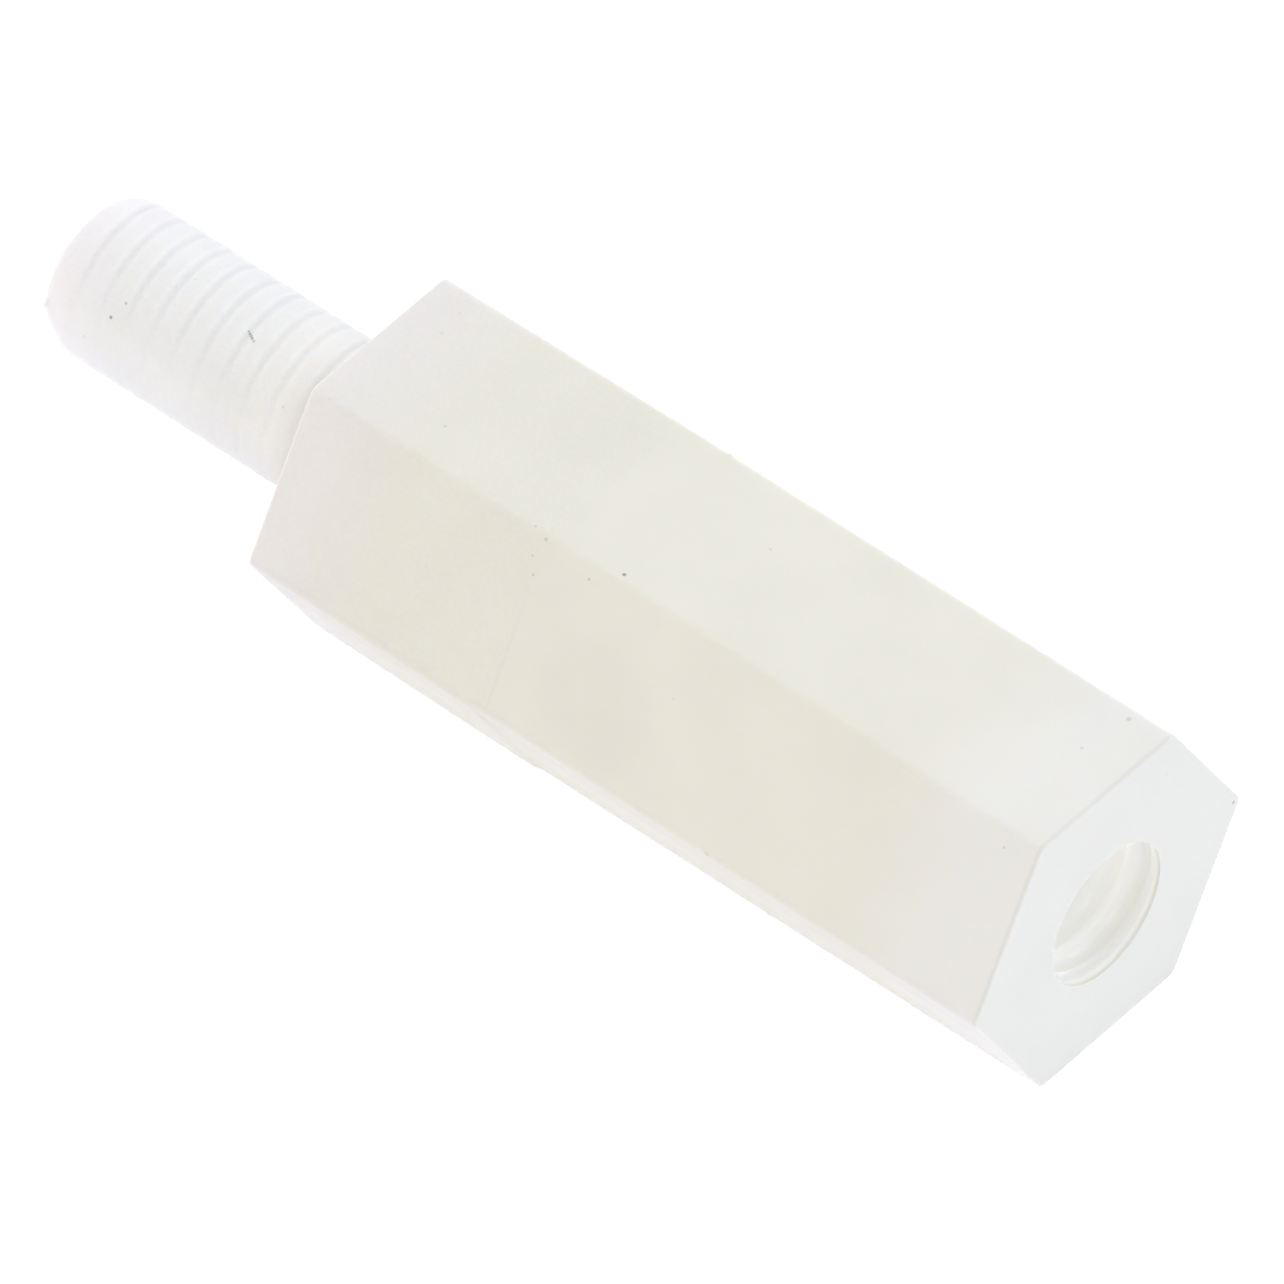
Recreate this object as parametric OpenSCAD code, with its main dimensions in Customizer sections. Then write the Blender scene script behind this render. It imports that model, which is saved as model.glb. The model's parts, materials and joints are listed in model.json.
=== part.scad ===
// Male-female hex standoff, moulded in one piece from natural nylon.
// Lengths are millimetres. The axis is X: the shoulder, where the stud meets the body, is the
// plane x = 0, the stud points along -X and the tapped end faces +X.
// The part lies on one flat of its hexagon, so +Z is up and two corners point along Y.

/* [Body] */
// Width across the flats of the hexagon, the spanner size
across_flats = 5.5; // [4.5:0.1:8]
// Length of the body, from the shoulder to the tapped end
body_l = 15; // [13:0.5:40]
// Radius along the six long corners
corner_r = 0.2; // [0.05:0.05:0.5]

/* [Stud] */
// Diameter over the crests of the stud's thread
stud_d = 2.76; // [2.4:0.02:3.8]
// Length of the stud, from the shoulder to its tip
stud_l = 6; // [3:0.1:12]
// Diameter of the flat at the stud's tip
tip_d = 2.26; // [1:0.02:2.7]
// Length of the stud's tapered lead
lead_l = 0.45; // [0.1:0.05:1.5]
// Radius of the fillet between the stud and the shoulder
root_r = 0.15; // [0.05:0.05:0.3]

/* [Tapped hole] */
// Diameter over the crests of the hole's thread, the core diameter
core_d = 2.5; // [1.6:0.05:3.2]
// Depth of the threaded wall, from the end face
core_l = 9; // [4:0.5:11.5]
// Included angle of the core pin's conical end, in degrees
core_angle = 120; // [90:5:150]

/* [Hidden] */
nylon = "#e8e4d6";
round_fn = 96;
flats = 6;
flat_angle = 360 / flats;
apothem = across_flats / 2;
corner_centre = (apothem - corner_r) / cos(flat_angle / 2);
core_tip_l = core_d / 2 / tan(core_angle / 2);
// How far a cut runs past the face it starts from
past = 1;

// The hexagon with rounded corners: a corner disc at each point, and the straight-sided core
// whose edges join the discs where their arcs run into the flats.
module hexagon() {
    polygon([
        for (corner = [0 : flats - 1])
            for (side = [-1, 1])
                let (at = flat_angle * corner, out = at + side * flat_angle / 2)
                    corner_centre * [cos(at), sin(at)] + corner_r * [cos(out), sin(out)]
    ]);
    for (corner = [0 : flats - 1])
        rotate(flat_angle * corner)
            translate([corner_centre, 0])
                circle(r = corner_r, $fn = round_fn);
}

module body() {
    rotate([90, 0, 90])
        linear_extrude(height = body_l)
            hexagon();
}

// Half section of the stud: radius along X, distance from the shoulder along Y. It starts
// inside the body, so that the two are one solid.
module stud_section() {
    polygon([
        [0, -past],
        [stud_d / 2, -past],
        [stud_d / 2, stud_l - lead_l],
        [tip_d / 2, stud_l],
        [0, stud_l]
    ]);
    difference() {
        translate([0, -past])
            square([stud_d / 2 + root_r, past + root_r]);
        translate([stud_d / 2 + root_r, root_r])
            circle(r = root_r, $fn = round_fn);
    }
}

module stud() {
    rotate([0, -90, 0])
        rotate_extrude($fn = round_fn)
            stud_section();
}

module tapped_hole() {
    translate([body_l - core_l, 0, 0])
        rotate([0, 90, 0])
            cylinder(d = core_d, h = core_l + past, $fn = round_fn);
    translate([body_l - core_l, 0, 0])
        rotate([0, -90, 0])
            cylinder(d1 = core_d, d2 = 0, h = core_tip_l, $fn = round_fn);
}

module standoff() {
    color(nylon)
        difference() {
            union() {
                body();
                stud();
            }
            tapped_hole();
        }
}

standoff();
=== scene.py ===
"""A moulded nylon hex standoff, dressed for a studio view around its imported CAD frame.

The CAD solid has plain cylinders where the real part has fine threads. This script draws the
part again as one closed skin with both threads, the draft of its mould and its parting step,
gives it a natural nylon finish, and sets a pale light table, soft lights and a camera.
Lengths are metres unless a comment says millimetres. The axes are the CAD's: X along the
standoff from its shoulder, +Z up. Angles round the axis run from +Y towards +Z.
"""

import json
import math

import bpy
import numpy as np
from bpy.props import FloatProperty, FloatVectorProperty, PointerProperty
from mathutils import Matrix, Vector


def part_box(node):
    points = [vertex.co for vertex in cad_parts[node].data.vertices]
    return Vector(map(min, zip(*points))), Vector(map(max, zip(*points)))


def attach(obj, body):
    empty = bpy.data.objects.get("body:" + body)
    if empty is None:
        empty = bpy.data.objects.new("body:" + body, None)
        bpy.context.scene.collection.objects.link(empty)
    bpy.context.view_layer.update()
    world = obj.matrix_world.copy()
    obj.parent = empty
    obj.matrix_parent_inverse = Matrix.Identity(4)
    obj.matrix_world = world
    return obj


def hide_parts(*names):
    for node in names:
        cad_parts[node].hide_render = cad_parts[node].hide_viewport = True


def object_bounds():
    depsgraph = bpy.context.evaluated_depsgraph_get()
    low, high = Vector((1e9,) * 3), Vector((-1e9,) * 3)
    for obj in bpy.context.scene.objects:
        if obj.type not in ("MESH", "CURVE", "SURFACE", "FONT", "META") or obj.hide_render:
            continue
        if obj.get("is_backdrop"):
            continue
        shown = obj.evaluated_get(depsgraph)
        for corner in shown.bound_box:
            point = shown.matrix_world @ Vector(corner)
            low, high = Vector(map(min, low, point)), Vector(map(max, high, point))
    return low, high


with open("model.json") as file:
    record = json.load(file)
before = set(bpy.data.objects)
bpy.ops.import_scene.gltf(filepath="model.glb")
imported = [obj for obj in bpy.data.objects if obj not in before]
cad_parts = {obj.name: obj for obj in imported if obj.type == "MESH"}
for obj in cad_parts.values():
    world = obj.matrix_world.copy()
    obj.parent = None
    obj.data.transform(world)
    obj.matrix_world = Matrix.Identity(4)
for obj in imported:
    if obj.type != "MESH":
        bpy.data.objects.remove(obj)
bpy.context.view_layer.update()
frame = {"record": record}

bl_info = {
    "name": "Moulded Nylon Standoff",
    "version": (1, 0, 0),
    "blender": (4, 5, 0),
    "location": "View3D > Sidebar > Standoff",
    "description": "Draws a male-female nylon hex standoff with its threads, and a light table",
    "category": "Add Mesh",
}

MM = 0.001
NODE = "standoff"
LOW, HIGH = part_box(NODE)
MOUNTS = {mount["name"]: mount["dims"] for mount in frame["record"]["mounts"]}
BODY_LENGTH = HIGH[0]
STUD_LENGTH = -LOW[0]
APOTHEM = HIGH[2]


def to_linear(code):
    """The linear RGB of an sRGB hex colour such as #E8E4D6."""
    shares = [int(code[i : i + 2], 16) / 255 for i in (1, 3, 5)]
    return tuple(c / 12.92 if c <= 0.04045 else ((c + 0.055) / 1.055) ** 2.4 for c in shares)


def colour(name, code, description):
    return FloatVectorProperty(
        name=name, description=description, subtype="COLOR", min=0, max=1, default=to_linear(code)
    )


def length(name, millimetres, description):
    return FloatProperty(
        name=name,
        description=description,
        default=millimetres * MM,
        min=0,
        unit="LENGTH",
        precision=5,
    )


class StandoffForm(bpy.types.PropertyGroup):
    """Sizes that the CAD solid leaves out: the threads, the mould's draft and its small edges."""

    pitch: length("Thread pitch", 0.5, "Advance of both threads in one turn, M3 coarse")
    stud_depth: length("Stud thread depth", 0.03, "Visible depth of the stud's worn thread")
    hole_depth: length("Hole thread depth", 0.07, "Visible depth of the hole's worn thread")
    lead: length("Stud lead", 0.48, "Length of the rounded lead at the stud's tip")
    tip_radius: length("Tip radius", 1.11, "Radius of the flat at the stud's tip")
    stud_rise: length("Stud rise", 0.035, "How far the stud stands above the body's axis")
    root_fillet: length("Root fillet", 0.15, "Fillet between the stud and the shoulder")
    corner: length("Corner radius", 0.2, "Radius along the six long corners")
    edge: length("End edge radius", 0.035, "Radius of the hexagon's end edges")
    parting: length("Parting ring", 4.67, "Where the mould's two halves meet, from the shoulder")
    step: length("Parting step", 0.015, "How far the stud half stands proud on average")
    draft: length("Draft", 0.0375, "How far each flat of the stud half falls in at the shoulder")
    skew_y: FloatProperty(
        name="Skew across",
        description="Sideways shift of the stud half against the tapped half",
        default=-0.019 * MM,
        unit="LENGTH",
        precision=6,
    )
    skew_z: FloatProperty(
        name="Skew down",
        description="Downward shift of the stud half against the tapped half",
        default=-0.013 * MM,
        unit="LENGTH",
        precision=6,
    )


class NylonFinish(bpy.types.PropertyGroup):
    """Colours and texture of natural nylon, moulded in a lightly eroded steel mould."""

    # Some of these colours hold painted light and shade: the tip and fringe tones are painted
    # lighter, as light through thin nylon makes them, the end tone is painted darker against the
    # lamps, the shade colour below the side corners is painted shade, and the bore tone sits below
    # a painted glow.
    tip: colour("Tip tone", "#E1DCD9", "Last half millimetre of the stud, which light crosses")
    stud: colour("Stud tone", "#DDDAD5", "Thin section, almost white")
    root: colour("Root tone", "#E1DDD6", "Last millimetre of the stud, beside the shoulder")
    shoulder: colour("Shoulder tone", "#DBD5CE", "First millimetre of the body")
    solid: colour("Solid tone", "#D9D4C6", "Thickest section, between the stud and the hole")
    sleeve: colour("Sleeve tone", "#DAD5C7", "Hollow section around the tapped hole")
    fringe: colour("Fringe tone", "#DBD7CF", "Section that light from the end face reaches")
    end: colour("End tone", "#CFCDC6", "The tapped end and the lip of its hole")
    # painted: the bore tone is kept dark, so that the painted glow on the hole's wall gives most of
    # its brightness
    bore: colour("Bore tone", "#AEAFAE", "Wall of the tapped hole, lit through the nylon around it")
    # painted shade: the share of the tone that stays where shade is painted below the side corners
    # and on the stud's lower and far sides
    painted_under_shade: colour("Under shade", "#EBE8E9", "Share of the tone that stays below the side corners")
    dust: colour("Dust", "#3A372F", "Specks that cling to the plastic")
    scatter: length("Scatter depth", 0.05, "How far light travels below the body's skin")
    stud_scatter: length("Stud scatter depth", 0.3, "How far light travels in the stud")
    bore_scatter: length("Bore scatter depth", 3.5, "How far light travels in the hole's wall")
    roughness: FloatProperty(
        name="Roughness",
        description="Satin skin of a moulded part",
        default=0.6,
        min=0,
        max=1,
        subtype="FACTOR",
    )
    bore_roughness: FloatProperty(
        name="Bore roughness",
        description="Wall of the tapped hole, moulded on a polished core pin",
        default=0.14,
        min=0,
        max=1,
        subtype="FACTOR",
    )
    # painted light: the hole's wall glows by this emission, in place of light through the nylon
    bore_glow: FloatProperty(
        name="Bore glow",
        description="Light that the translucent wall lets through into the tapped hole",
        default=1.05,
        min=0,
    )
    grain: length("Mould grain", 0.07, "Width of one pit of the spark-eroded mould")
    mottle: length("Mottle", 1.6, "Width of one cloud in the nylon's colour")


class LightTable(bpy.types.PropertyGroup):
    """A pale light table, soft lights and the camera."""

    azimuth: FloatProperty(
        name="Azimuth",
        description="Camera angle about Z, from the -Y side towards +X",
        default=math.radians(41.352),
        subtype="ANGLE",
    )
    elevation: FloatProperty(
        name="Elevation",
        description="Camera angle above the table",
        default=math.radians(47.36),
        subtype="ANGLE",
    )
    roll: FloatProperty(
        name="Roll",
        description="Turn of the camera about its own axis",
        default=math.radians(-0.467),
        subtype="ANGLE",
    )
    distance: length("Distance", 600, "From the middle of the body to the camera")
    frame_width: length("Frame width", 20.02, "Width of the picture at the middle of the body")
    aside: FloatProperty(
        name="Aside",
        description="How far right of the picture's middle the body's middle stands",
        default=1.566 * MM,
        unit="LENGTH",
        precision=5,
    )
    below: FloatProperty(
        name="Below",
        description="How far below the picture's middle the body's middle stands",
        default=0.588 * MM,
        unit="LENGTH",
        precision=5,
    )
    table_size: length("Table size", 900, "Side of the light table")
    table_glow: FloatProperty(
        name="Table glow",
        description="Light that the opal top gives off",
        default=0.38,
        min=0,
    )
    room_light: FloatProperty(
        name="Room light",
        description="Even white light of the tent around the table",
        default=0.94,
        min=0,
    )
    key_power: FloatProperty(
        name="Key power",
        description="Power of the overhead softbox",
        default=1.3,
        min=0,
        unit="POWER",
    )
    front_power: FloatProperty(
        name="Front power",
        description="Power of the softbox round the camera, which reaches into the hole",
        default=0.5,
        min=0,
        unit="POWER",
    )
    strip_power: FloatProperty(
        name="Strip power",
        description="Power of the narrow lamp behind the table, which the threads mirror",
        default=0.75,
        min=0,
        unit="POWER",
    )


# ---------------------------------------------------------------- the form

TURN = 2 * math.pi
SECTORS = 6
SECTOR = TURN / SECTORS
HALF_SECTOR = SECTOR / 2

# How finely the skin is divided: round one corner, across one flat, along one pitch of each
# thread, along the stud's lead, and round the fillet and the end edges.
ARC_STEPS = 6
FLAT_STEPS = 14
PITCH_ROWS = 20
HOLE_PITCH_ROWS = 14
LEAD_ROWS = 14
FILLET_STEPS = 5
EDGE_STEPS = 3

# Rows all along the body, how far the first and last ones lie inside the end edges, and the
# shortest gap that is kept between two rows.
BODY_ROWS = np.arange(0.31, 14.9, 0.3) * MM
EDGE_MARGIN = 0.01 * MM
CLOSEST = 0.003 * MM

# How far the first and last columns of a flat lie from its corners' arcs.
CORNER_MARGIN = 0.03 * MM

# Rings across the flat faces, as shares of the way out: on the stud's tip, on the shoulder, and
# inwards on the tapped end. Then those down the cone at the bottom of the hole.
TIP_RINGS = (0.3, 0.6, 0.85, 0.97, 1.0)
SHOULDER_RINGS = (0.02, 0.35, 0.7, 0.98)
END_RINGS = (0.98, 0.75, 0.5, 0.25, 0.06, 0.01)
CONE_RINGS = (0.98, 0.7, 0.35, 0.12)

# Half the length over which the parting step climbs, and rows that follow it, in such halves.
STEP_REACH = 0.1 * MM
STEP_ROWS = np.array([-1.4, -1, -0.6, -0.2, 0.2, 0.6, 1, 1.4])

# First row inside the hole, which keeps its mouth crisp, and half the angle of the hole's cone.
MOUTH_ROW = 0.006 * MM
CONE_HALF_ANGLE = math.radians(60)

# Where the threads start, measured along X at the angle 0.
STUD_PHASE = 0.214 * MM
HOLE_PHASE = -0.308 * MM

# Half-widths of a thread's crest and root, as shares of the pitch.
STUD_CREST = 0.28
STUD_ROOT = 0.03
HOLE_CREST = 0.08
HOLE_ROOT = 0.1

# The stud's thread is crisp towards this angle, and only this share of its depth on the far side.
# Between them it fades over this range of the cosine of the angle between.
CRISP_ANGLE = math.radians(60)
FAINT_SHARE = 0.25
CRISP_RANGE = (-0.1, 0.8)

# Share of a pitch in which the stud's thread dies out towards the fillet.
RUNOUT = 0.8

# Small lumps and hollows: x and angle on the skin, height and half-width, in millimetres and
# degrees. The first is flash at the stud's tip, beside a hollow where the tip is under-filled,
# and the others are grains on two long corners. A lump on the body gets rows of its own.
LUMPS = (
    (-5.87, 168, 0.13, 0.07),
    (-6.0, 200, -0.11, 0.5),
    (5.9, 60, 0.045, 0.05),
    (9.4, 240, 0.04, 0.045),
)
LUMP_ROWS = np.linspace(-2, 2, 15)


def smooth(t):
    """An even step from 0 to 1, flat at both ends."""
    t = np.clip(t, 0, 1)
    return t * t * (3 - 2 * t)


def spaced(*lists):
    """All the places in order, without those that almost repeat the one before."""
    places = np.sort(np.concatenate(lists))
    keep = np.concatenate([[True], np.diff(places) > CLOSEST])
    return places[keep]


def thread_height(x, angle, pitch, phase, crest, root):
    """1 on the crest of a right-hand helix, 0 in its root, with rounded flanks between."""
    turn = (x - phase) / pitch - angle / TURN
    off = np.abs((turn + 0.5) % 1 - 0.5)
    return smooth((0.5 - root - off) / (0.5 - root - crest))


def corner_end(centre, corner):
    """Angle from the middle of a rounded corner to where its arc meets the flat."""
    return math.atan2(corner * math.sin(HALF_SECTOR), centre + corner * math.cos(HALF_SECTOR))


def hexagon_radius(angle, apothem, corner):
    """Distance from the axis to a hexagon with rounded corners, which point at 0, 60, 120..."""
    centre = (apothem - corner) / math.cos(HALF_SECTOR)
    off = np.abs((angle + HALF_SECTOR) % SECTOR - HALF_SECTOR)
    arc = centre * np.cos(off) + np.sqrt(np.clip(corner**2 - (centre * np.sin(off)) ** 2, 0, None))
    return np.where(off < corner_end(centre, corner), arc, apothem / np.cos(HALF_SECTOR - off))


def hexagon_angles(corner):
    """Angles of the skin's columns on the hexagon, closest together round its corners."""
    end = corner_end((APOTHEM - corner) / math.cos(HALF_SECTOR), corner)
    arc = np.linspace(-end, end, ARC_STEPS + 1)
    reach = math.tan(HALF_SECTOR - end) - CORNER_MARGIN / APOTHEM
    inner = np.linspace(-1, 1, FLAT_STEPS - 1) * reach
    flat = HALF_SECTOR + np.arctan(inner)
    one = np.concatenate([arc, flat])
    turned = np.concatenate([one + k * SECTOR for k in range(SECTORS)])
    return np.roll(turned, -(ARC_STEPS // 2))


class Skin:
    """The closed skin, as rings of points from the stud's tip to the bottom of the hole."""

    def __init__(self, form):
        self.form = form
        self.crest = MOUNTS["stud"]["r_mm"] * MM
        self.bore = MOUNTS["tapped_hole"]["r_mm"] * MM
        self.bore_length = MOUNTS["tapped_hole"]["length_mm"] * MM
        self.columns = SECTORS * (ARC_STEPS + FLAT_STEPS)
        self.round = np.arange(self.columns) * TURN / self.columns
        six = hexagon_angles(form.corner)
        self.six = six + np.round((self.round - six) / TURN) * TURN
        self.rings = []

    def ring(self, x, radius, angle, shift=(0.0, 0.0)):
        """Adds one ring of points at x, with a radius at each angle, moved sideways by shift."""
        x = np.full(self.columns, x)
        radius = np.broadcast_to(radius, x.shape)
        rise = sum(self.lump(x, angle, *one) for one in LUMPS)
        y = (radius + rise) * np.cos(angle) + shift[0]
        z = (radius + rise) * np.sin(angle) + shift[1]
        self.rings.append(np.stack([x, y, z], axis=1))

    def lump(self, x, angle, at_x, at_angle, height, width):
        """How far one of LUMPS lifts the skin."""
        turn = (angle - math.radians(at_angle) + math.pi) % TURN - math.pi
        reach = self.crest if at_x < 0 else APOTHEM / math.cos(HALF_SECTOR)
        away = ((x - at_x * MM) ** 2 + (turn * reach) ** 2) / (width * MM) ** 2
        return height * MM * np.exp(-2 * away)

    # the stud

    def stud_radius(self, x, angle):
        """The thread's radius, or the rounded lead's where that is smaller."""
        form = self.form
        height = thread_height(x, angle, form.pitch, STUD_PHASE, STUD_CREST, STUD_ROOT)
        runout = smooth((-x - form.root_fillet) / (RUNOUT * form.pitch))
        dull, full = CRISP_RANGE
        crisp = smooth((np.cos(angle - CRISP_ANGLE) - dull) / (full - dull))
        depth = form.stud_depth * runout * (FAINT_SHARE + (1 - FAINT_SHARE) * crisp)
        thread = self.crest - depth * (1 - height)
        share = np.clip((x + STUD_LENGTH) / form.lead, 0, 1)
        lead = form.tip_radius + (self.crest - form.tip_radius) * np.sqrt(1 - (1 - share) ** 2)
        return np.minimum(thread, lead)

    def stud(self):
        form = self.form
        rise = (0.0, form.stud_rise)
        for share in TIP_RINGS:
            self.ring(-STUD_LENGTH, share * form.tip_radius, self.round, rise)
        stop = -form.root_fillet
        rows = round((stop + STUD_LENGTH) / form.pitch * PITCH_ROWS)
        places = np.linspace(-STUD_LENGTH, stop, rows + 1)
        turns = np.linspace(0, 1, LEAD_ROWS + 1) * math.pi / 2
        for x in spaced(places, -STUD_LENGTH + form.lead * (1 - np.cos(turns)))[1:]:
            self.ring(x, self.stud_radius(x, self.round), self.round, rise)
        for turn in np.linspace(0, 1, FILLET_STEPS + 1)[1:] * math.pi / 2:
            x = stop + form.root_fillet * math.sin(turn)
            self.ring(x, self.crest + form.root_fillet * (1 - math.cos(turn)), self.round, rise)

    # the hexagonal body

    def outline(self, x):
        """Apothem and sideways shift of the body's section at x."""
        form = self.form
        half = float(smooth((form.parting + STEP_REACH - x) / (2 * STEP_REACH)))
        rise = form.step - form.draft * (1 - x / form.parting)
        return APOTHEM + half * rise, (half * form.skew_y, half * form.skew_z)

    def section(self, x, inset=0.0):
        """Adds the hexagon's ring at x, drawn in by inset at the end edges."""
        apothem, shift = self.outline(x)
        radius = hexagon_radius(self.six, apothem - inset, self.form.corner - inset)
        self.ring(x, radius, self.six, shift)

    def flat_face(self, x, inner, outer, shares, shifts=((0.0, 0.0), (0.0, 0.0))):
        """Rings across a face square to the axis, between a round edge and the hexagon."""
        start, end = shifts
        for share in shares:
            radius = inner + (outer - inner) * share
            angle = self.round + (self.six - self.round) * share
            self.ring(x, radius, angle, [a + (b - a) * share for a, b in zip(start, end)])

    def body(self):
        form = self.form
        edge = form.edge
        apothem, shift = self.outline(0.0)
        outer = hexagon_radius(self.six, apothem - edge, form.corner - edge)
        inner = self.crest + form.root_fillet
        shifts = ((0.0, form.stud_rise), shift)
        self.flat_face(0.0, inner, outer, SHOULDER_RINGS, shifts)
        for turn in np.linspace(0, 1, EDGE_STEPS + 1) * math.pi / 2:
            self.section(edge * (1 - math.cos(turn)), edge * (1 - math.sin(turn)))
        ends = np.array([edge + EDGE_MARGIN, BODY_LENGTH - edge - EDGE_MARGIN])
        step = form.parting + STEP_ROWS * STEP_REACH
        lumps = [(at + width * LUMP_ROWS) * MM for at, _, _, width in LUMPS if at > 0]
        for x in spaced(BODY_ROWS, ends, step, *lumps):
            self.section(x)

    # the tapped end and its hole

    def hole_radius(self, x, angle):
        """The hole's radius, whose thread dies out in the last pitch of its depth."""
        form = self.form
        deep = BODY_LENGTH - x
        height = thread_height(
            x - BODY_LENGTH, angle, form.pitch, HOLE_PHASE, HOLE_ROOT, HOLE_CREST
        )
        fade = smooth((self.bore_length - deep) / form.pitch)
        return self.bore + form.hole_depth * fade * height

    def end_and_hole(self):
        form = self.form
        edge = form.edge
        for turn in np.linspace(1, 0, EDGE_STEPS + 1) * math.pi / 2:
            self.section(BODY_LENGTH - edge * (1 - math.cos(turn)), edge * (1 - math.sin(turn)))
        mouth = self.hole_radius(BODY_LENGTH, self.round)
        outer = hexagon_radius(self.six, APOTHEM - edge, form.corner - edge)
        self.flat_face(BODY_LENGTH, mouth, outer, END_RINGS)
        rows = round(self.bore_length / form.pitch * HOLE_PITCH_ROWS)
        places = BODY_LENGTH - np.linspace(0, self.bore_length, rows + 1)
        for x in np.sort(np.append(places, BODY_LENGTH - MOUTH_ROW))[::-1]:
            self.ring(x, self.hole_radius(x, self.round), self.round)
        bottom = BODY_LENGTH - self.bore_length
        for share in CONE_RINGS:
            x = bottom - (1 - share) * (bottom - self.hole_end())
            self.ring(x, self.bore * share, self.round)

    def hole_end(self):
        """Tip of the cone at the bottom of the hole, which a 120 degree core pin leaves."""
        return BODY_LENGTH - self.bore_length - self.bore / math.tan(CONE_HALF_ANGLE)

    def point(self, x, angle):
        """The point of the skin at x and at an angle round the axis."""
        if x < 0:
            radius, shift = self.stud_radius(x, angle), (0.0, self.form.stud_rise)
        else:
            apothem, shift = self.outline(x)
            radius = hexagon_radius(angle, apothem, self.form.corner)
        return (x, radius * math.cos(angle) + shift[0], radius * math.sin(angle) + shift[1])

    def mesh(self, name):
        """The rings joined by quads, and closed by a fan at the tip and at the hole's end."""
        self.stud()
        self.body()
        self.end_and_hole()
        points = np.concatenate(self.rings)
        ends = np.array([[-STUD_LENGTH, 0, self.form.stud_rise], [self.hole_end(), 0, 0]])
        tip, bottom = len(points), len(points) + 1
        sides = [(a, (a + 1) % self.columns) for a in range(self.columns)]
        starts = [k * self.columns for k in range(len(self.rings))]
        faces = [(tip, b, a) for a, b in sides]
        for low, high in zip(starts, starts[1:]):
            faces += [(low + a, low + b, high + b, high + a) for a, b in sides]
        faces += [(starts[-1] + a, starts[-1] + b, bottom) for a, b in sides]
        mesh = bpy.data.meshes.new(name)
        mesh.from_pydata(np.concatenate([points, ends]).tolist(), [], faces)
        mesh.validate()
        mesh.shade_smooth()
        return mesh


# ---------------------------------------------------------------- the finish

# The tone along the length: places in millimetres, and the finish's tone that holds there. It is
# partly the nylon's own tone, warm where it is thick, and partly painted light: the tip and the
# fringe are painted lighter, as light through thin nylon makes them, and the end is painted darker
# against the lamps that fall on it.
TONES = (
    (-5.6, "tip"),
    (-4.6, "stud"),
    (-2.4, "stud"),
    (-1.2, "root"),
    (0.3, "shoulder"),
    (2.2, "solid"),
    (4.4, "solid"),
    (6.5, "sleeve"),
    (12.2, "sleeve"),
    (13.8, "fringe"),
    (14.93, "fringe"),
    (14.98, "end"),
)

# Painted light on the wall of the tapped hole, a glow that stands in for light through the
# wall: depth below its mouth in millimetres, and its share.
LIT_DEPTHS = ((6.0, 0.35), (1.6, 1.0), (0.7, 1.0), (0.1, 0.35))

# Where a mask starts and where it is full: along X towards the stud, in from outside the wall of
# the hole, and down from the hole's mouth.
STUD_ZONE = (0.2 * MM, -0.6 * MM)
WALL_ZONE = (0.15 * MM, 0.05 * MM)
MOUTH_ZONE = (0.02 * MM, 0.16 * MM)

# The painted shade below starts and is full at these places: below the side corners, above the
# resting flat, outside the stud and the hole, and away from either end face. It holds down the
# light that the glowing table throws on the lower flats.
BELOW_CORNERS = (0.12 * MM, -0.15 * MM)
ABOVE_FLAT = (-2.4 * MM, -0.5 * MM)
OUTER_SKIN = (2.2 * MM, 2.5 * MM)
OFF_ENDS = (0.03 * MM, 0.07 * MM)

# The stud takes a share of the same painted shade towards its lower side and towards its far
# side, where the table and the lamps light its edges brightest.
STUD_LOWER = (0.45 * MM, -0.35 * MM, 0.55)
STUD_FAR = (0.35 * MM, 1.0 * MM, 0.5)

# Where the eroded grain of the stud half stops, a little past the parting ring, and over what
# length it fades. The tapped half keeps a share of it as a faint satin.
GRAIN_STOP = 4.92 * MM
GRAIN_FADE = 0.03 * MM
SATIN_SHARE = 0.15
PIT_DEPTH = 0.008 * MM
PIT_TONE = 0.012

# The faint line where the grain stops shows on one flat only: its half-width where it starts and
# where it is full, how much darker it is, its angle round the axis and the length that shows.
LINE_EDGE = (0.035 * MM, 0.01 * MM)
LINE_TONE = 0.03
LINE_ANGLE = math.radians(166)
LINE_LENGTH = 2.0 * MM

# The part of a noise that is stretched over a whole change, and how far the tone drifts with it.
NOISE_RANGE = (0.3, 0.7)
DRIFT = (0.985, 1.012)

# Nylon 6.6 bends light by 1.53. A worn satin skin mirrors little, and red light travels furthest
# inside, which keeps the thick body warm.
NYLON_IOR = 1.53
SKIN_MIRROR = 0.22
SCATTER_SHARES = (1.0, 0.85, 0.6)

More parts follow.
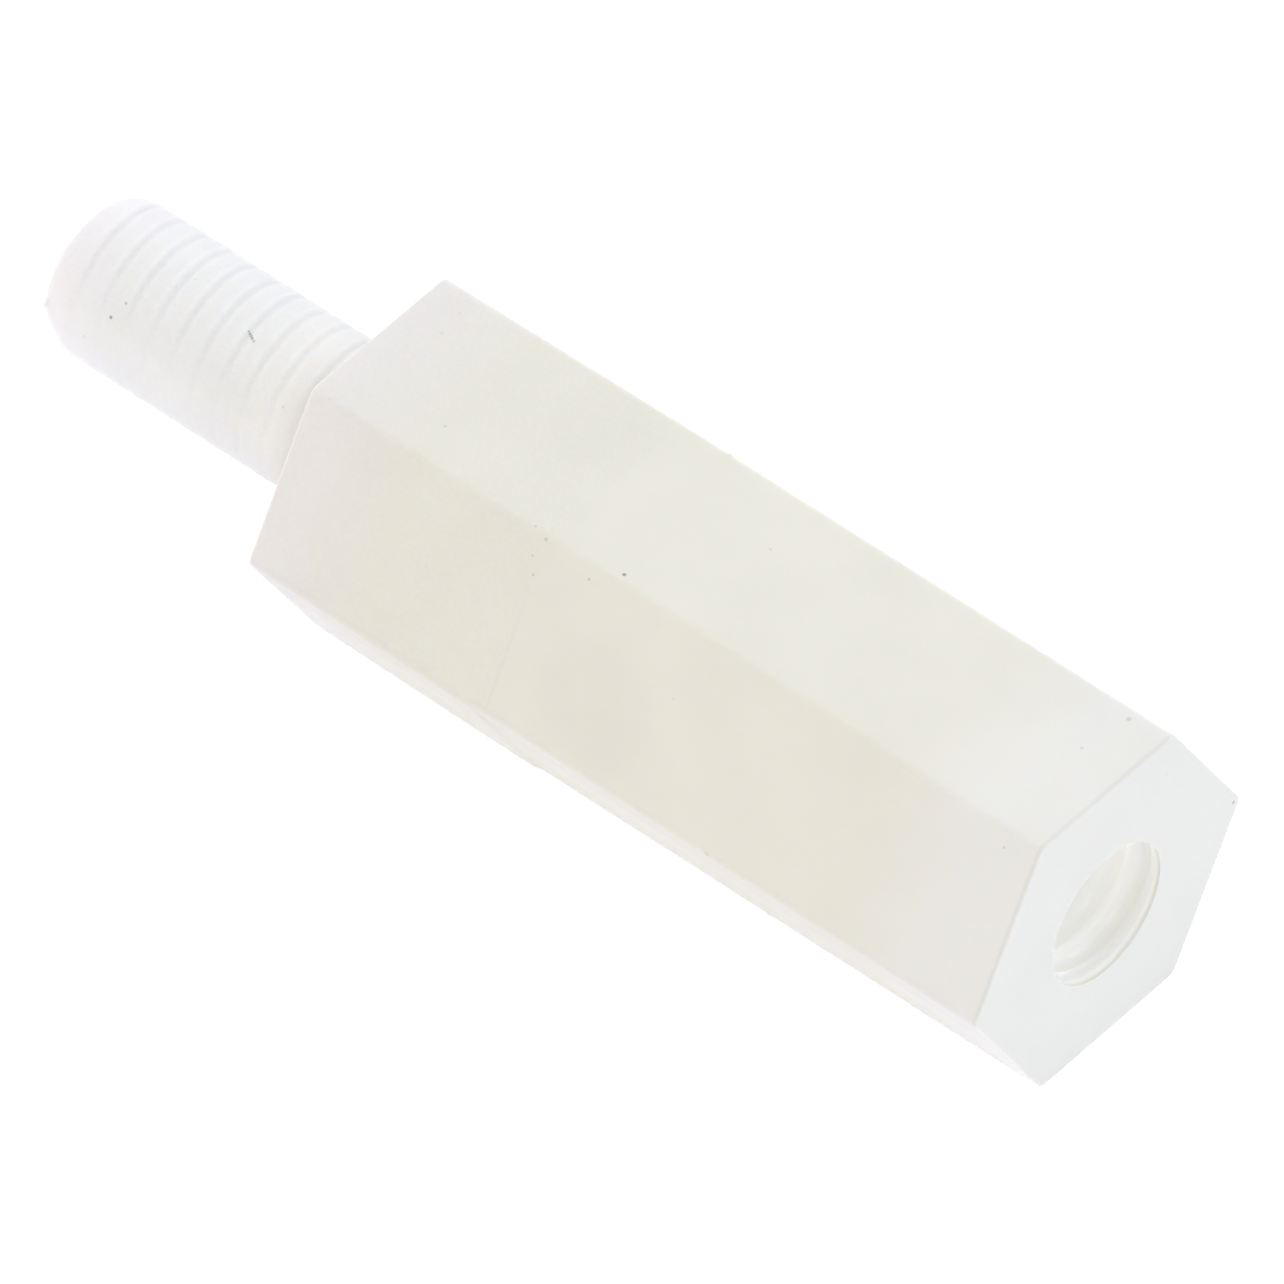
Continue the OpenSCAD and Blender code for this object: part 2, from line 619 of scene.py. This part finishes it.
# Dust on the skin: x in millimetres, angle round the axis in degrees, width in millimetres, and
# how much of the dust's own colour shows. The five around x -2.3 are one short fibre.
SPECKS = (
    (-4.61, 147.6, 0.055, 0.55),
    (-4.47, 134, 0.05, 0.32),
    (-5.0, 172, 0.05, 0.12),
    (-3.75, 95, 0.045, 0.1),
    (-2.41, 105.9, 0.045, 0.36),
    (-2.365, 106.9, 0.05, 0.46),
    (-2.315, 108, 0.055, 0.52),
    (-2.27, 109, 0.05, 0.46),
    (-2.22, 110, 0.045, 0.36),
    (-1.15, 136, 0.05, 0.14),
    (0.7, 67.5, 0.036, 0.12),
    (0.77, 77, 0.044, 0.14),
    (2.12, 107, 0.05, 0.18),
    (4.6, 119, 0.045, 0.18),
    (4.75, 127, 0.045, 0.16),
    (4.87, 121, 0.06, 0.2),
    (4.88, 132, 0.05, 0.2),
    (5.84, 124, 0.045, 0.28),
    (6.32, 117.4, 0.066, 0.56),
    (7.69, 80.5, 0.05, 0.14),
    (7.99, 142, 0.045, 0.1),
    (9.49, 180, 0.08, 0.14),
    (14.08, 81, 0.055, 0.16),
    (14.24, 63.5, 0.08, 0.2),
    (14.37, 125, 0.05, 0.2),
)

# Dust on the tapped end: y and z in millimetres, width and how much of its colour shows.
END_SPECKS = (
    (1.39, 2.02, 0.04, 0.12),
    (-0.58, 1.13, 0.06, 0.14),
    (3.0, 0.03, 0.065, 0.42),
)
SPECK_SOFTNESS = 0.6

# Two round patches where the flats are painted darker: x, angle, width, softness of the edge
# and the share of the tone that stays. The first stops where the grain stops.
DARK_PATCHES = (
    (4.1, 78, 1.9, 0.8, 0.985),
    (6.75, 158.5, 2.15, 0.6, 0.977),
)


def node(tree, kind, settings=None, **links):
    """Adds a node. settings are its attributes, links its inputs: a socket is joined, a value set.

    An input goes by its name, with _ for a space, or by its number, as in _0.
    """
    made = tree.nodes.new(kind)
    for key, value in (settings or {}).items():
        setattr(made, key, value)
    for key, value in links.items():
        socket = made.inputs[int(key[1:]) if key.startswith("_") else key.replace("_", " ")]
        if isinstance(value, bpy.types.NodeSocket):
            tree.links.new(value, socket)
        else:
            socket.default_value = value
    return made


def moulded_nylon(finish, skin):
    """Natural PA 6.6, injection moulded.

    Milky and slightly warm where it is thick, whiter where it is thin or hollow. Light soaks in
    and softens every edge, and the satin skin keeps a low gloss. Painted light and shade sit in
    the tone too: along the length, below the side corners, and as a glow in the tapped hole.
    """
    material = bpy.data.materials.new("Moulded natural nylon")
    material.use_nodes = True
    tree = material.node_tree
    tree.nodes.clear()
    place = node(tree, "ShaderNodeTexCoord").outputs["Object"]
    split = node(tree, "ShaderNodeSeparateXYZ", _0=place)
    along = split.outputs["X"]
    across = node(tree, "ShaderNodeCombineXYZ", Y=split.outputs["Y"], Z=split.outputs["Z"])
    radius = node(
        tree, "ShaderNodeVectorMath", {"operation": "LENGTH"}, _0=across.outputs[0]
    ).outputs["Value"]
    stud = node(
        tree,
        "ShaderNodeMapRange",
        {"interpolation_type": "SMOOTHSTEP"},
        _0=along,
        From_Min=STUD_ZONE[0],
        From_Max=STUD_ZONE[1],
    ).outputs[0]
    bore = bore_mask(tree, along, radius, skin)

    # light travels further in the thin stud, and furthest in the wall of the hole
    depth = finish.scatter
    for mask, reach in ((stud, finish.stud_scatter), (bore, finish.bore_scatter)):
        depth = node(
            tree, "ShaderNodeMix", {"data_type": "FLOAT"}, _0=mask, _2=depth, _3=reach
        ).outputs[0]

    # the tone: bands along the length, partly painted light, the hole's own under its painted
    # glow, a painted shade below, clouds, two darker patches and dust
    tone = bands(tree, along, [(x, getattr(finish, name)) for x, name in TONES])
    tone = node(
        tree, "ShaderNodeMix", {"data_type": "RGBA"}, _0=bore, _6=tone, _7=(*finish.bore, 1)
    ).outputs[2]
    # painted shade: the tone is held darker below the side corners and on the stud's sides
    shade = node(
        tree,
        "ShaderNodeMix",
        {"data_type": "RGBA"},
        _0=painted_shade_mask(tree, split, radius, stud),
        _6=(1, 1, 1, 1),
        _7=(*finish.painted_under_shade, 1),
    ).outputs[2]
    tone = node(
        tree, "ShaderNodeVectorMath", {"operation": "MULTIPLY"}, _0=tone, _1=shade
    ).outputs[0]
    stud_half = node(
        tree,
        "ShaderNodeMapRange",
        _0=along,
        From_Min=GRAIN_STOP + GRAIN_FADE,
        From_Max=GRAIN_STOP - GRAIN_FADE,
    ).outputs[0]
    grain = node(
        tree, "ShaderNodeTexNoise", Vector=place, Scale=1 / finish.grain, Detail=2.0, Roughness=0.6
    ).outputs["Fac"]
    pitted = node(tree, "ShaderNodeMapRange", _0=stud_half, To_Min=SATIN_SHARE).outputs[0]
    cloud = clouds(tree, place, along, stud_half, finish.mottle, skin)
    pits = node(
        tree,
        "ShaderNodeMapRange",
        _0=grain,
        From_Min=NOISE_RANGE[0],
        From_Max=NOISE_RANGE[1],
        To_Min=-PIT_TONE,
        To_Max=PIT_TONE,
    ).outputs[0]
    cloud = node(
        tree, "ShaderNodeMath", {"operation": "MULTIPLY_ADD"}, _0=pits, _1=pitted, _2=cloud
    ).outputs[0]
    tone = node(
        tree, "ShaderNodeVectorMath", {"operation": "SCALE"}, _0=tone, Scale=cloud
    ).outputs[0]
    tone = node(
        tree,
        "ShaderNodeMix",
        {"data_type": "RGBA"},
        _0=dust_mask(tree, place, skin),
        _6=tone,
        _7=(*finish.dust, 1),
    ).outputs[2]

    # painted light: the hole's wall glows, in place of light that comes through the wall, less at
    # the lip and where the hole is deep
    mouth = BODY_LENGTH / MM
    lit = bands(tree, along, [(mouth - down, (share,) * 3) for down, share in LIT_DEPTHS])
    lit = node(tree, "ShaderNodeMath", {"operation": "MULTIPLY"}, _0=bore, _1=lit).outputs[0]
    through = node(
        tree, "ShaderNodeMix", {"data_type": "RGBA"}, _0=lit, _6=(0, 0, 0, 1), _7=(*finish.bore, 1)
    ).outputs[2]

    rough = node(
        tree, "ShaderNodeMapRange", _0=bore, To_Min=finish.roughness, To_Max=finish.bore_roughness
    ).outputs[0]
    bump = node(tree, "ShaderNodeBump", Strength=pitted, Distance=PIT_DEPTH, Height=grain)
    shader = node(
        tree,
        "ShaderNodeBsdfPrincipled",
        {"subsurface_method": "RANDOM_WALK"},
        Base_Color=tone,
        Roughness=rough,
        IOR=NYLON_IOR,
        Subsurface_Weight=1.0,
        Subsurface_Radius=SCATTER_SHARES,
        Subsurface_Scale=depth,
        Specular_IOR_Level=SKIN_MIRROR,
        Emission_Color=through,
        Emission_Strength=finish.bore_glow,
        Normal=bump.outputs["Normal"],
    )
    node(tree, "ShaderNodeOutputMaterial", Surface=shader.outputs["BSDF"])
    return material


def bore_mask(tree, along, radius, skin):
    """1 on the wall of the tapped hole, 0 on the outer skin and the tapped end."""
    wall = skin.bore + skin.form.hole_depth
    inside = node(
        tree,
        "ShaderNodeMapRange",
        _0=radius,
        From_Min=wall + WALL_ZONE[0],
        From_Max=wall + WALL_ZONE[1],
    ).outputs[0]
    below_mouth = node(
        tree,
        "ShaderNodeMapRange",
        {"interpolation_type": "SMOOTHSTEP"},
        _0=along,
        From_Min=BODY_LENGTH - MOUTH_ZONE[0],
        From_Max=BODY_LENGTH - MOUTH_ZONE[1],
    ).outputs[0]
    off_stud = node(
        tree, "ShaderNodeMath", {"operation": "GREATER_THAN"}, _0=along, _1=skin.hole_end() - MM
    ).outputs[0]
    bore = inside
    for mask in (below_mouth, off_stud):
        bore = node(tree, "ShaderNodeMath", {"operation": "MULTIPLY"}, _0=bore, _1=mask).outputs[0]
    return bore


def painted_shade_mask(tree, split, radius, stud):
    """1 where shade is painted: on the outer skin below the side corners and on the stud's sides.
    """
    along, across, height = split.outputs
    painted_under_shade = 1.0
    for value, start, full in (
        (height, *BELOW_CORNERS),
        (height, *ABOVE_FLAT),
        (radius, *OUTER_SKIN),
        (along, BODY_LENGTH - OFF_ENDS[0], BODY_LENGTH - OFF_ENDS[1]),
        (along, *OFF_ENDS),
    ):
        mask = node(tree, "ShaderNodeMapRange", _0=value, From_Min=start, From_Max=full)
        painted_under_shade = node(
            tree, "ShaderNodeMath", {"operation": "MULTIPLY"}, _0=painted_under_shade, _1=mask.outputs[0]
        ).outputs[0]
    for value, start, full, most in ((height, *STUD_LOWER), (across, *STUD_FAR)):
        side = node(
            tree, "ShaderNodeMapRange", _0=value, From_Min=start, From_Max=full, To_Max=most
        ).outputs[0]
        side = node(tree, "ShaderNodeMath", {"operation": "MULTIPLY"}, _0=side, _1=stud).outputs[0]
        painted_under_shade = node(
            tree, "ShaderNodeMath", {"operation": "MAXIMUM"}, _0=painted_under_shade, _1=side
        ).outputs[0]
    return painted_under_shade


def clouds(tree, place, along, stud_half, mottle, skin):
    """Share of the tone that stays: slow clouds in the resin, two patches and a faint line."""
    drift = node(
        tree, "ShaderNodeTexNoise", Vector=place, Scale=1 / mottle, Detail=2.0, Roughness=0.5
    ).outputs["Fac"]
    cloud = node(
        tree,
        "ShaderNodeMapRange",
        _0=drift,
        From_Min=NOISE_RANGE[0],
        From_Max=NOISE_RANGE[1],
        To_Min=DRIFT[0],
        To_Max=DRIFT[1],
    ).outputs[0]
    for x, angle, width, soft, stays in DARK_PATCHES:
        spot = skin.point(x * MM, math.radians(angle))
        mask = patch(tree, place, spot, width * MM, soft)
        if spot[0] < GRAIN_STOP:
            mask = node(
                tree, "ShaderNodeMath", {"operation": "MULTIPLY"}, _0=mask, _1=stud_half
            ).outputs[0]
        stay = node(tree, "ShaderNodeMapRange", _0=mask, To_Min=1.0, To_Max=stays).outputs[0]
        cloud = node(
            tree, "ShaderNodeMath", {"operation": "MULTIPLY"}, _0=cloud, _1=stay
        ).outputs[0]
    off = node(tree, "ShaderNodeMath", {"operation": "SUBTRACT"}, _0=along, _1=GRAIN_STOP)
    off = node(tree, "ShaderNodeMath", {"operation": "ABSOLUTE"}, _0=off.outputs[0]).outputs[0]
    line = node(
        tree,
        "ShaderNodeMapRange",
        _0=off,
        From_Min=LINE_EDGE[0],
        From_Max=LINE_EDGE[1],
        To_Max=LINE_TONE,
    ).outputs[0]
    seen = patch(tree, place, skin.point(GRAIN_STOP, LINE_ANGLE), LINE_LENGTH, soft=1.0)
    line = node(tree, "ShaderNodeMath", {"operation": "MULTIPLY"}, _0=line, _1=seen).outputs[0]
    return node(tree, "ShaderNodeMath", {"operation": "SUBTRACT"}, _0=cloud, _1=line).outputs[0]


def dust_mask(tree, place, skin):
    """How much of the dust's colour shows: each speck's share on the speck, 0 between them."""
    spots = [
        (skin.point(x * MM, math.radians(angle)), width, share) for x, angle, width, share in SPECKS
    ]
    spots += [((BODY_LENGTH, y * MM, z * MM), width, share) for y, z, width, share in END_SPECKS]
    dust = 0.0
    for spot, width, share in spots:
        speck = patch(tree, place, spot, width * MM, SPECK_SOFTNESS, share)
        dust = node(
            tree, "ShaderNodeMath", {"operation": "MAXIMUM"}, _0=dust, _1=speck
        ).outputs[0]
    return dust


def bands(tree, along, stops):
    """A colour that changes along X: each stop is a place in millimetres and its colour."""
    start, stop = stops[0][0], stops[-1][0]
    share = node(tree, "ShaderNodeMapRange", _0=along, From_Min=start * MM, From_Max=stop * MM)
    ramp = node(tree, "ShaderNodeValToRGB", _0=share.outputs[0])
    elements = ramp.color_ramp.elements
    elements[1].position = 1
    for k, (x, tone) in enumerate(stops):
        spot = (x - start) / (stop - start)
        band = elements[0] if k == 0 else elements[-1] if x == stop else elements.new(spot)
        band.color = (*tone, 1)
    return ramp.outputs["Color"]


def patch(tree, place, at, width, soft, share=1.0):
    """A round mask of the given width about a point: a share inside, 0 outside."""
    away = node(tree, "ShaderNodeVectorMath", {"operation": "DISTANCE"}, _0=place, _1=at)
    return node(
        tree,
        "ShaderNodeMapRange",
        {"interpolation_type": "SMOOTHSTEP"},
        _0=away.outputs["Value"],
        From_Min=width / 2 * (1 + soft / 2),
        From_Max=width / 2 * (1 - soft / 2),
        To_Max=share,
    ).outputs[0]


# ---------------------------------------------------------------- the operators

# The lamps: name, the stage's power for it, length round the part's axis and width in
# millimetres, direction from the part, and colour. The front one stands round the camera.
OVERHEAD = Vector((0.05, 0.3, 0.95))
BEHIND = Vector((0.41, 0.51, 0.755))
LAMPS = (
    ("softbox", "key_power", (420, 420), OVERHEAD, "#B8D5FF"),
    ("front", "front_power", (320, 320), None, "#FFFFFF"),
    ("strip", "strip_power", (640, 40), BEHIND, "#E6EFFF"),
)
LAMP_DISTANCE = 700 * MM

# Width of the camera's sensor, which the camera counts in millimetres.
SENSOR_WIDTH = 36

# Width of one cloud in the light table's white, and how far acrylic bends light.
TABLE_CLOUD = 80 * MM
ACRYLIC_IOR = 1.49


class StandoffOperator(bpy.types.Operator):
    """Draw the standoff as one moulded piece with both of its threads"""

    bl_idname = "mesh.add_moulded_standoff"
    bl_label = "Moulded standoff"

    def execute(self, context):
        skin = Skin(context.scene.standoff_form)
        mesh = skin.mesh("moulded_standoff")
        piece = bpy.data.objects.new("moulded_standoff", mesh)
        context.scene.collection.objects.link(piece)
        mesh.materials.append(moulded_nylon(context.scene.nylon_finish, skin))
        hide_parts(NODE)
        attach(piece, "root")
        return {"FINISHED"}


class LightTableOperator(bpy.types.Operator):
    """Set the pale light table, its lights and the camera"""

    bl_idname = "scene.set_light_table"
    bl_label = "Light table"

    def execute(self, context):
        stage = context.scene.light_table
        middle = Vector((BODY_LENGTH / 2, 0, 0))
        self.table(context, stage)
        self.room(context, stage)
        front = self.sight(stage) @ Vector((0, 0, 1))
        for name, power, size, towards, tint in LAMPS:
            self.lamp(context, name, getattr(stage, power), size, middle, towards or front, tint)
        self.camera(context, stage, middle)
        context.scene.view_settings.view_transform = "Standard"
        return {"FINISHED"}

    def table(self, context, stage):
        """The table's top, at the height that the part lies on."""
        half = stage.table_size / 2
        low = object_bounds()[0].z
        corners = [(-half, -half, low), (half, -half, low), (half, half, low), (-half, half, low)]
        mesh = bpy.data.meshes.new("light_table")
        mesh.from_pydata(corners, [], [(0, 1, 2, 3)])
        top = bpy.data.objects.new("light_table", mesh)
        context.scene.collection.objects.link(top)
        mesh.materials.append(opal_glass(stage.table_glow))
        top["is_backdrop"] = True

    def room(self, context, stage):
        """The white tent, as even light from all sides."""
        world = bpy.data.worlds.new("White tent")
        world.use_nodes = True
        back = world.node_tree.nodes["Background"]
        back.inputs["Color"].default_value = (1, 1, 1, 1)
        back.inputs["Strength"].default_value = stage.room_light
        context.scene.world = world

    def lamp(self, context, name, power, size, middle, towards, tint):
        """An oval lamp from one row of LAMPS, turned to face the middle of the part."""
        light = bpy.data.lights.new(name, "AREA")
        light.color = to_linear(tint)
        light.shape = "ELLIPSE"
        light.size, light.size_y = (side * MM for side in size)
        light.energy = power
        back = towards.normalized()
        side = Vector((1, 0, 0)).cross(back).normalized()
        lamp = bpy.data.objects.new(name, light)
        turn = Matrix((side, back.cross(side), back)).transposed()
        place = Matrix.Translation(middle + back * LAMP_DISTANCE)
        lamp.matrix_world = place @ turn.to_4x4()
        context.scene.collection.objects.link(lamp)

    def sight(self, stage):
        """The camera's rotation."""
        return (
            Matrix.Rotation(stage.azimuth, 3, "Z")
            @ Matrix.Rotation(math.pi / 2 - stage.elevation, 3, "X")
            @ Matrix.Rotation(stage.roll, 3, "Z")
        )

    def camera(self, context, stage, middle):
        """A long lens, so that parallel edges stay almost parallel."""
        turn = self.sight(stage)
        lens = bpy.data.cameras.new("camera")
        lens.sensor_width = SENSOR_WIDTH
        lens.lens = lens.sensor_width * stage.distance / stage.frame_width
        lens.clip_start = stage.distance * 0.5
        lens.clip_end = stage.distance * 2
        camera = bpy.data.objects.new("camera", lens)
        back = turn @ Vector((-stage.aside, stage.below, stage.distance))
        camera.matrix_world = Matrix.Translation(middle + back) @ turn.to_4x4()
        context.scene.collection.objects.link(camera)
        context.scene.camera = camera


def opal_glass(glow):
    """Opal acrylic lit from below: a white that hardly takes a shadow."""
    material = bpy.data.materials.new("Opal acrylic light table")
    material.use_nodes = True
    tree = material.node_tree
    tree.nodes.clear()
    place = node(tree, "ShaderNodeTexCoord").outputs["Object"]
    cloud = node(tree, "ShaderNodeTexNoise", Vector=place, Scale=1 / TABLE_CLOUD, Detail=1.0)
    white = node(
        tree,
        "ShaderNodeMix",
        {"data_type": "RGBA"},
        _0=cloud.outputs["Fac"],
        _6=(*to_linear("#FBFBFA"), 1),
        _7=(*to_linear("#FFFFFF"), 1),
    ).outputs[2]
    shader = node(
        tree,
        "ShaderNodeBsdfPrincipled",
        Base_Color=white,
        Roughness=0.6,
        IOR=ACRYLIC_IOR,
        Emission_Color=(*to_linear("#DEE5FF"), 1),
        Emission_Strength=glow,
    )
    node(tree, "ShaderNodeOutputMaterial", Surface=shader.outputs["BSDF"])
    return material


class StandoffPanel(bpy.types.Panel):
    """Sidebar panel with the standoff's sizes, finish and stage"""

    bl_idname = "VIEW3D_PT_standoff"
    bl_label = "Moulded standoff"
    bl_space_type = "VIEW_3D"
    bl_region_type = "UI"
    bl_category = "Standoff"

    def draw(self, context):
        groups = (
            (StandoffOperator, context.scene.standoff_form),
            (None, context.scene.nylon_finish),
            (LightTableOperator, context.scene.light_table),
        )
        for operator, group in groups:
            box = self.layout.box()
            for name in group.__annotations__:
                box.prop(group, name)
            if operator is not None:
                box.operator(operator.bl_idname)


GROUPS = {
    "standoff_form": StandoffForm,
    "nylon_finish": NylonFinish,
    "light_table": LightTable,
}
CLASSES = (*GROUPS.values(), StandoffOperator, LightTableOperator, StandoffPanel)


def register():
    for cls in CLASSES:
        bpy.utils.register_class(cls)
    for name, group in GROUPS.items():
        setattr(bpy.types.Scene, name, PointerProperty(type=group))


def unregister():
    for name in GROUPS:
        delattr(bpy.types.Scene, name)
    for cls in reversed(CLASSES):
        bpy.utils.unregister_class(cls)


def main():
    register()
    bpy.ops.mesh.add_moulded_standoff()
    bpy.ops.scene.set_light_table()


if __name__ == "__main__":
    main()
